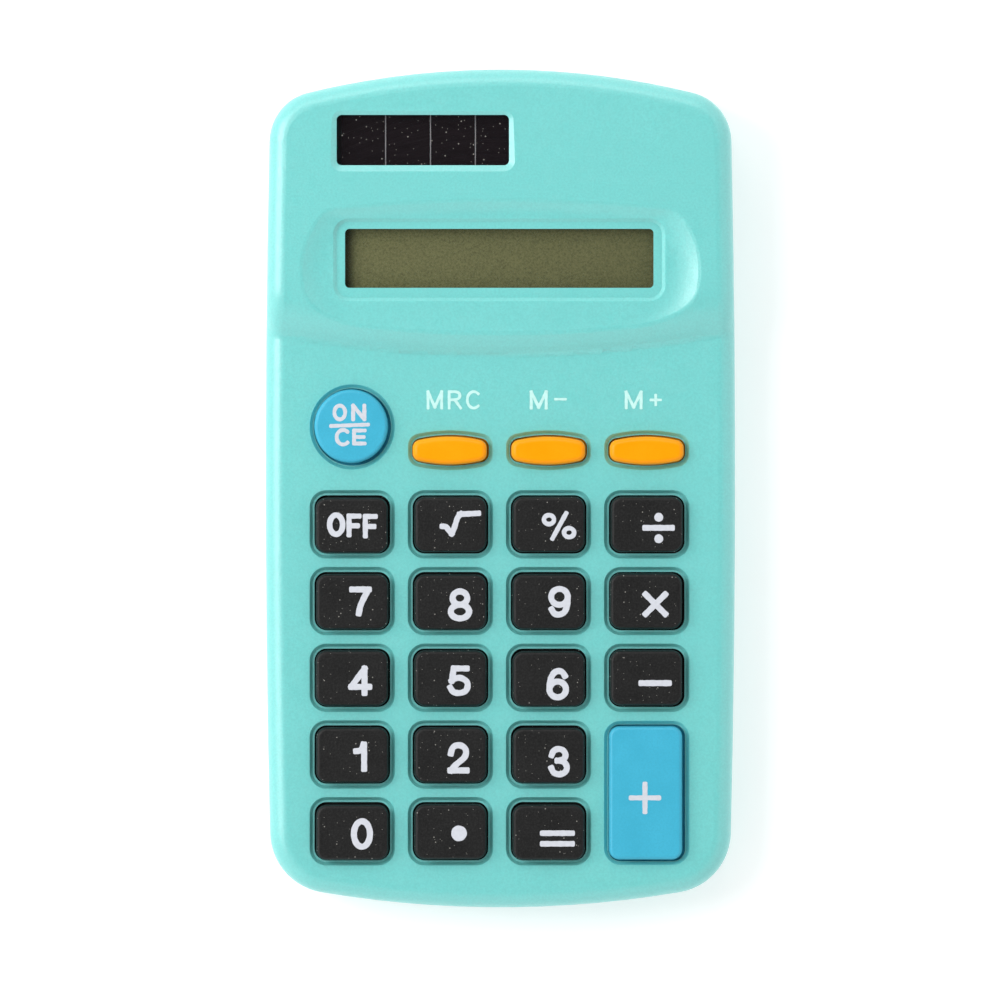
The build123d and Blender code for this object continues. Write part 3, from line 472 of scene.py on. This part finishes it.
def thin_out(points):
    """The same line without the points that crowd the one before them."""
    crowded = 0.12 * STROKE_STEP
    result = [points[0]]
    for point in points[1:]:
        if (point - result[-1]).length > crowded:
            result.append(point)
    return result


def with_ends(points, width, corner):
    """An open line made longer by half the pen's width, with close points where its ends are rounded."""
    direction = (points[1] - points[0]).normalized()
    head = [points[0] + direction * (corner * step - width / 2) for step in END_STEPS]
    direction = (points[-1] - points[-2]).normalized()
    tail = [points[-1] - direction * (corner * step - width / 2) for step in reversed(END_STEPS)]
    return thin_out(head + points + tail)


def cross_section(mesh, point, along, half, z):
    """Four corners across a stroke: the foot and the shoulder on either side."""
    side = Vector((-along.y, along.x)).normalized()
    outer = side * half
    inner = side * (half - INK_EDGE)
    corners = [(point + outer, z - INK_HEIGHT), (point + inner, z + INK_HEIGHT),
               (point - inner, z + INK_HEIGHT), (point - outer, z - INK_HEIGHT)]
    return [mesh.verts.new((*place, height)) for place, height in corners]


def add_stroke(mesh, points, width, corner, z, rng):
    """Flat closed ribbon along the points, its ends squared off with rounded corners."""
    points = resample(points)
    closed = (points[0] - points[-1]).length < 0.5 * STROKE_STEP
    points = points[:-1] if closed else with_ends(points, width, corner)
    total = len(points)
    lengths = [0.0]
    for a, b in zip(points, points[1:]):
        lengths.append(lengths[-1] + (b - a).length)
    phase = rng.uniform(0, math.tau)
    rows = []
    for i, point in enumerate(points):
        if closed:
            along = points[(i + 1) % total] - points[i - 1]
            half = width / 2
        else:
            along = points[min(i + 1, total - 1)] - points[max(i - 1, 0)]
            from_end = min(lengths[i], lengths[-1] - lengths[i])
            dip = max(0.0, corner - from_end)
            half = width / 2 - corner + math.sqrt(max(0.0, corner * corner - dip * dip))
        for height, length, pace in STROKE_WOBBLES:
            half += height * math.sin(pace * phase + lengths[i] / length)
        rows.append(cross_section(mesh, point, along, half, z))
    for i in range(total if closed else total - 1):
        a, b = rows[i], rows[(i + 1) % total]
        for j in range(4):
            k = (j + 1) % 4
            mesh.faces.new((a[j], a[k], b[k], b[j]))
    if not closed:
        mesh.faces.new(reversed(rows[0]))
        mesh.faces.new(rows[-1])


def add_dot(mesh, centre, radius, z, rng):
    """Round printed dot with a slightly uneven outline."""
    phase = rng.uniform(0, math.tau)
    rings = []
    for reach, height in ((0.0, -INK_HEIGHT), (INK_EDGE, INK_HEIGHT)):
        ring = []
        for i in range(DOT_POINTS):
            angle = math.tau * i / DOT_POINTS
            uneven = sum(part * math.sin(waves * angle + pace * phase) for part, waves, pace in DOT_WOBBLES)
            distance = radius * (1 + uneven) - reach
            place = centre + Vector((math.cos(angle), math.sin(angle))) * distance
            ring.append(mesh.verts.new((*place, z + height)))
        rings.append(ring)
    lower, upper = rings
    for i in range(DOT_POINTS):
        j = (i + 1) % DOT_POINTS
        mesh.faces.new((lower[i], lower[j], upper[j], upper[i]))
    mesh.faces.new(upper)
    mesh.faces.new(reversed(lower))


def add_sign(mesh, sign, centre, size, width, corner, z, rng):
    """One sign whose ink fills a box of the given size, in millimetres, around its centre."""
    width *= MM
    inner = Vector((size[0] * MM - width, size[1] * MM - width))
    origin = centre - inner / 2
    corner = min(corner * MM, WIDEST_CORNER * width)
    for number, stroke in enumerate(SIGNS[sign]):
        points = [origin + Vector((u * inner.x, v * inner.y)) for u, v in stroke]
        # Crossing strokes don't share a surface.
        add_stroke(mesh, points, width, corner, z + number * STROKE_RISE, rng)


def finish_piece(mesh, name, body, material):
    """Turn a mesh into one piece that rides on a body."""
    bmesh.ops.recalc_face_normals(mesh, faces=mesh.faces)
    data = bpy.data.meshes.new(name)
    mesh.to_mesh(data)
    mesh.free()
    data.materials.append(material)
    piece = bpy.data.objects.new(name, data)
    bpy.context.scene.collection.objects.link(piece)
    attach(piece, body)


# ---------------------------------------------------------------- printed legends

# Each sign is a list of pen strokes in a unit box, its origin at the lower left.
SIGNS = {
    "0": [arc(0.5, 0.5, 0.5, 0.5)],
    "1": [[(1.0, 0.0), (1.0, 1.0)], flow((0.0, 0.73), (0.45, 0.75), (0.75, 0.85), (0.9, 1.0))],
    "2": [
        flow((0.03, 0.68), (0.12, 0.88), (0.34, 0.99), (0.66, 0.99), (0.91, 0.87), (0.97, 0.68),
             (0.84, 0.5), (0.55, 0.34), (0.22, 0.15), (0.05, 0.0)),
        [(0.0, 0.0), (1.0, 0.0)],
    ],
    "3": [
        flow((0.02, 0.76), (0.14, 0.92), (0.42, 1.0), (0.75, 0.95), (0.91, 0.77), (0.78, 0.6), (0.4, 0.54)),
        flow((0.4, 0.54), (0.8, 0.49), (1.0, 0.28), (0.87, 0.08), (0.5, 0.0), (0.15, 0.07), (0.0, 0.24)),
    ],
    "4": [[(0.74, 0.0), (0.74, 1.0)], [(0.74, 1.0), (0.02, 0.27)], [(0.0, 0.25), (1.0, 0.25)]],
    "5": [
        [(0.94, 1.0), (0.2, 1.0)],
        [(0.2, 1.0), (0.08, 0.5)],
        flow((0.08, 0.5), (0.3, 0.6), (0.62, 0.61), (0.93, 0.48), (1.0, 0.29), (0.87, 0.08), (0.5, 0.0),
             (0.17, 0.05), (0.0, 0.22)),
    ],
    "6": [
        flow((0.93, 0.82), (0.77, 0.96), (0.52, 1.0), (0.25, 0.91), (0.06, 0.66), (0.0, 0.32)),
        arc(0.5, 0.3, 0.5, 0.3),
    ],
    "7": [[(0.0, 1.0), (1.0, 1.0)], flow((0.97, 0.98), (0.72, 0.66), (0.5, 0.32), (0.4, 0.0))],
    "8": [arc(0.5, 0.755, 0.4, 0.245), arc(0.5, 0.255, 0.5, 0.255)],
    "9": [
        arc(0.5, 0.69, 0.5, 0.31),
        flow((1.0, 0.68), (0.97, 0.38), (0.8, 0.1), (0.48, 0.0), (0.2, 0.04), (0.03, 0.2)),
    ],
    "C": [arc(0.55, 0.5, 0.55, 0.5, 48, 312)],
    "E": [[(0, 0), (0, 1)], [(0, 1), (1, 1)], [(0, 0.5), (0.9, 0.5)], [(0, 0), (1, 0)]],
    "F": [[(0, 0), (0, 1)], [(0, 1), (1, 1)], [(0, 0.48), (0.85, 0.48)]],
    "M": [[(0, 0), (0, 1)], [(0, 1), (0.5, 0.05)], [(0.5, 0.05), (1, 1)], [(1, 1), (1, 0)]],
    "N": [[(0, 0), (0, 1)], [(0, 1), (1, 0)], [(1, 0), (1, 1)]],
    "O": [arc(0.5, 0.5, 0.5, 0.5)],
    "R": [
        [(0, 0), (0, 1)],
        flow((0, 1), (0.55, 1.0), (0.88, 0.9), (0.9, 0.65), (0.6, 0.52), (0, 0.5)),
        [(0.5, 0.5), (1, 0)],
    ],
    "minus": [[(0, 0.5), (1, 0.5)]],
    "plus": [[(0, 0.5), (1, 0.5)], [(0.5, 0), (0.5, 1)]],
    "equals": [[(0, 0), (1, 0)], [(0, 1), (1, 1)]],
    "multiply": [[(0, 0), (1, 1)], [(0, 1), (1, 0)]],
    "root": [
        flow((0.0, 0.38), (0.1, 0.36), (0.17, 0.22), (0.26, 0.05)),
        flow((0.26, 0.05), (0.34, 0.35), (0.42, 0.75), (0.52, 0.94)),
        [(0.48, 0.92), (1.0, 0.96)],
    ],
    "percent": [
        arc(0.16, 0.78, 0.17, 0.2),
        arc(0.84, 0.2, 0.17, 0.2),
        [(0.28, -0.06), (0.74, 1.06)],
    ],
    "bar": [[(0, 0), (1, 1)]],
}

# Sign, its place beside the middle of the key, its size and the width of the pen, in millimetres.
LEGENDS = {
    "key_root": [("root", (1.37, 0.1), (5.75, 3.9), 0.8)],
    "key_percent": [("percent", (1.44, -0.21), (4.75, 3.75), 0.66)],
    "key_7": [("7", (1.15, 0.05), (3.15, 4.15), 0.86)],
    "key_8": [("8", (1.32, -0.38), (3.4, 4.6), 0.88)],
    "key_9": [("9", (1.5, 0.0), (3.15, 4.4), 0.86)],
    "key_multiply": [("multiply", (1.31, -0.42), (3.55, 3.55), 0.85)],
    "key_4": [("4", (1.17, -0.37), (3.35, 4.2), 0.86)],
    "key_5": [("5", (1.19, -0.35), (3.25, 4.25), 0.86)],
    "key_6": [("6", (1.26, -0.72), (3.15, 4.5), 0.88)],
    "key_minus": [("minus", (1.25, -0.72), (4.62, 0.9), 0.86)],
    "key_1": [("1", (1.1, -0.22), (1.97, 4.2), 0.86)],
    "key_2": [("2", (1.12, -0.38), (3.1, 4.35), 0.88)],
    "key_3": [("3", (1.46, -0.82), (3.0, 4.35), 0.86)],
    "key_0": [("0", (1.35, -0.2), (3.1, 4.4), 0.88)],
    "key_equals": [("equals", (1.21, -0.83), (4.85, 2.26), 0.8)],
    "key_plus": [("plus", (-0.09, -0.66), (4.5, 4.5), 0.72)],
    "key_off": [
        ("O", (-2.13, 0.08), (2.6, 3.45), 0.8),
        ("F", (0.33, -0.02), (2.1, 3.3), 0.74),
        ("F", (2.58, -0.12), (2.1, 3.4), 0.74),
    ],
    "key_on_ce": [
        ("O", (-1.55, 1.89), (2.05, 2.46), 0.56),
        ("N", (1.07, 1.89), (2.13, 2.46), 0.58),
        ("bar", (-0.2, 0.12), (5.66, 0.75), 0.55),
        ("C", (-1.17, -1.53), (2.18, 2.57), 0.56),
        ("E", (1.15, -1.5), (2.02, 2.35), 0.56),
    ],
    "key_divide": [("minus", (1.62, -0.48), (4.5, 0.85), 0.84)],
    "key_point": [],
}
DOTS = {
    "key_point": [((1.19, -0.2), 1.1)],
    "key_divide": [((1.65, 0.98), 0.63), ((1.65, -1.98), 0.63)],
}
LABELS = {
    "label_memory_recall": ("key_memory_recall", [
        ("M", (-2.05, 7.0), (2.3, 2.65), 0.42),
        ("R", (0.72, 7.0), (2.0, 2.65), 0.42),
        ("C", (3.25, 7.0), (2.05, 2.7), 0.42),
    ]),
    "label_memory_minus": ("key_memory_minus", [
        ("M", (-1.32, 7.0), (2.5, 2.65), 0.44),
        ("minus", (1.68, 7.1), (1.75, 0.42), 0.38),
    ]),
    "label_memory_plus": ("key_memory_plus", [
        ("M", (-1.8, 7.0), (2.5, 2.6), 0.44),
        ("plus", (1.25, 7.0), (1.7, 1.7), 0.4),
    ]),
}


def key_top(key):
    """Middle of a key's top face, and its height."""
    low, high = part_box(key)
    return Vector(((low.x + high.x) / 2, (low.y + high.y) / 2)), high.z


def keypad_height():
    """Height of the flat keypad surface: the level where the cover has most of its upward area."""
    level_enough = 0.999
    levels = {}
    for face in nodes["front_cover"].data.polygons:
        if face.normal.z > level_enough:
            level = round(face.center.z / MM, 2)
            levels[level] = levels.get(level, 0.0) + face.area
    return max(levels, key=levels.get) * MM


def print_keys():
    """White legends on the keys, each riding on its own key."""
    white = ink("white_ink", WHITE_INK_COLOR)
    for key, signs in LEGENDS.items():
        rng = random.Random(f"{SEED}{key}")
        mesh = bmesh.new()
        middle, z = key_top(key)
        for sign, offset, size, width in signs:
            add_sign(mesh, sign, middle + Vector(offset) * MM, size, width, LEGEND_CORNER, z, rng)
        for offset, radius in DOTS.get(key, []):
            add_dot(mesh, middle + Vector(offset) * MM, radius * MM, z, rng)
        name = key.removeprefix("key_")
        finish_piece(mesh, f"legend_{name}", key, white)


def print_case_labels():
    """Small mint labels on the case above the three memory keys."""
    mint = ink("mint_ink", MINT_INK_COLOR)
    rng = random.Random(SEED)
    z = keypad_height()
    for name, (key, signs) in LABELS.items():
        mesh = bmesh.new()
        middle = key_top(key)[0]
        for sign, offset, size, width in signs:
            add_sign(mesh, sign, middle + Vector(offset) * MM, size, width, LABEL_CORNER, z, rng)
        finish_piece(mesh, name, "case", mint)


# ---------------------------------------------------------------- solar seams

SOLAR_CELLS = 4
SEAM_GAP = 0.2 * MM             # between two cells
SEAM_FILL = 0.75                # the part of the gap that the conductor fills
SEAM_THICKNESS = 0.06 * MM
SEAM_DEPTH = 0.05 * MM          # from the lower face of the glass to the middle of the seam
SEAM_EDGE = 0.015 * MM


def solar_seams():
    """Silver conductor lines between the solar cells."""
    low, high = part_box("solar_cell_layer")
    glass_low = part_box("solar_cell_glass")[0]
    pitch = (high.x - low.x + SEAM_GAP) / SOLAR_CELLS
    size = (SEAM_FILL * SEAM_GAP, high.y - low.y, SEAM_THICKNESS)
    mesh = bmesh.new()
    for number in range(1, SOLAR_CELLS):
        place = (low.x + number * pitch - SEAM_GAP / 2, (low.y + high.y) / 2, glass_low.z - SEAM_DEPTH)
        made = bmesh.ops.create_cube(mesh, size=1.0)["verts"]
        bmesh.ops.scale(mesh, vec=size, verts=made)
        bmesh.ops.translate(mesh, vec=place, verts=made)
    bmesh.ops.bevel(mesh, geom=mesh.edges, offset=SEAM_EDGE, segments=1, affect="EDGES")
    finish_piece(mesh, "solar_seams", "case", coated("seam_silver", SEAM_COLOR, 0.45))


# ---------------------------------------------------------------- studio

# Height of a direction where the dome starts to darken and where it is darkest, then both strengths.
DOME_RANGE = (0.72, 0.93, 1.05, 0.06)
TABLE_GLOW = 0.42
FLOOR_SIZE = 3.0
# Name, place, size and power of each lamp. All of them look at the object.
LIGHTS = [
    ("left_softbox", (-0.75, 0.22, 0.75), (0.5, 0.8), 7.4),
    ("top_softbox", (-0.1, 0.8, 0.75), (0.8, 0.4), 2.0),
]
CAMERA_HEIGHT = 2.0
CAMERA_SENSOR = 36.0            # millimetres
CAMERA_REACH = 20.0
VIEW_WIDTH = 0.1389             # what the picture takes in at the height of the floor
VIEW_OFFSET = (-0.00007, -0.0016)


def studio_dome():
    """Bright surroundings with a dark patch overhead, where the camera hangs."""
    world = bpy.data.worlds.new("studio")
    world.use_nodes = True
    tree = world.node_tree
    background = tree.nodes["Background"]
    coords = tree.nodes.new("ShaderNodeTexCoord")
    parts = tree.nodes.new("ShaderNodeSeparateXYZ")
    tree.links.new(coords.outputs["Generated"], parts.inputs["Vector"])
    ramp = tree.nodes.new("ShaderNodeMapRange")
    ramp.interpolation_type = "SMOOTHSTEP"
    for name, value in zip(("From Min", "From Max", "To Min", "To Max"), DOME_RANGE):
        ramp.inputs[name].default_value = value
    tree.links.new(parts.outputs["Z"], ramp.inputs["Value"])
    tree.links.new(ramp.outputs["Result"], background.inputs["Strength"])
    background.inputs["Color"].default_value = (1.0, 1.0, 1.0, 1.0)
    bpy.context.scene.world = world


def light_table():
    """White paper with an even glow from below."""
    made = Material("light_table", roughness=0.9, Specular_IOR_Level=0.0)
    made.drive("Base Color", made.mix(made.noise(20 * MM), *FLOOR_COLORS))
    made.shader.inputs["Emission Color"].default_value = (1.0, 1.0, 1.0, 1.0)
    made.shader.inputs["Emission Strength"].default_value = TABLE_GLOW
    return made.data


def paper_floor():
    """Flat floor at the height of the feet."""
    half = FLOOR_SIZE / 2
    corners = [(x * half, y * half, cad_low.z) for x, y in ((-1, -1), (1, -1), (1, 1), (-1, 1))]
    data = bpy.data.meshes.new("floor")
    data.from_pydata(corners, [], [(0, 1, 2, 3)])
    data.materials.append(light_table())
    floor = bpy.data.objects.new("floor", data)
    bpy.context.scene.collection.objects.link(floor)


def lamps():
    """Soft light from the left and from beyond the display end."""
    for name, place, size, power in LIGHTS:
        lamp = bpy.data.lights.new(name, "AREA")
        lamp.shape = "RECTANGLE"
        lamp.size, lamp.size_y = size
        lamp.energy = power
        light = bpy.data.objects.new(name, lamp)
        light.location = place
        light.rotation_euler = (-Vector(place)).to_track_quat("-Z", "Y").to_euler()
        bpy.context.scene.collection.objects.link(light)


def overhead_camera():
    """Long lens straight above the object."""
    lens = bpy.data.cameras.new("camera")
    lens.sensor_width = CAMERA_SENSOR
    lens.lens = CAMERA_SENSOR * CAMERA_HEIGHT / VIEW_WIDTH
    lens.clip_end = CAMERA_REACH
    camera = bpy.data.objects.new("camera", lens)
    middle = (cad_low + cad_high) / 2
    camera.location = (middle.x + VIEW_OFFSET[0], middle.y + VIEW_OFFSET[1], CAMERA_HEIGHT)
    bpy.context.scene.collection.objects.link(camera)
    bpy.context.scene.camera = camera


dress_cad_nodes()
print_keys()
print_case_labels()
solar_seams()
studio_dome()
paper_floor()
lamps()
overhead_camera()
bpy.context.scene.view_settings.view_transform = "Standard"
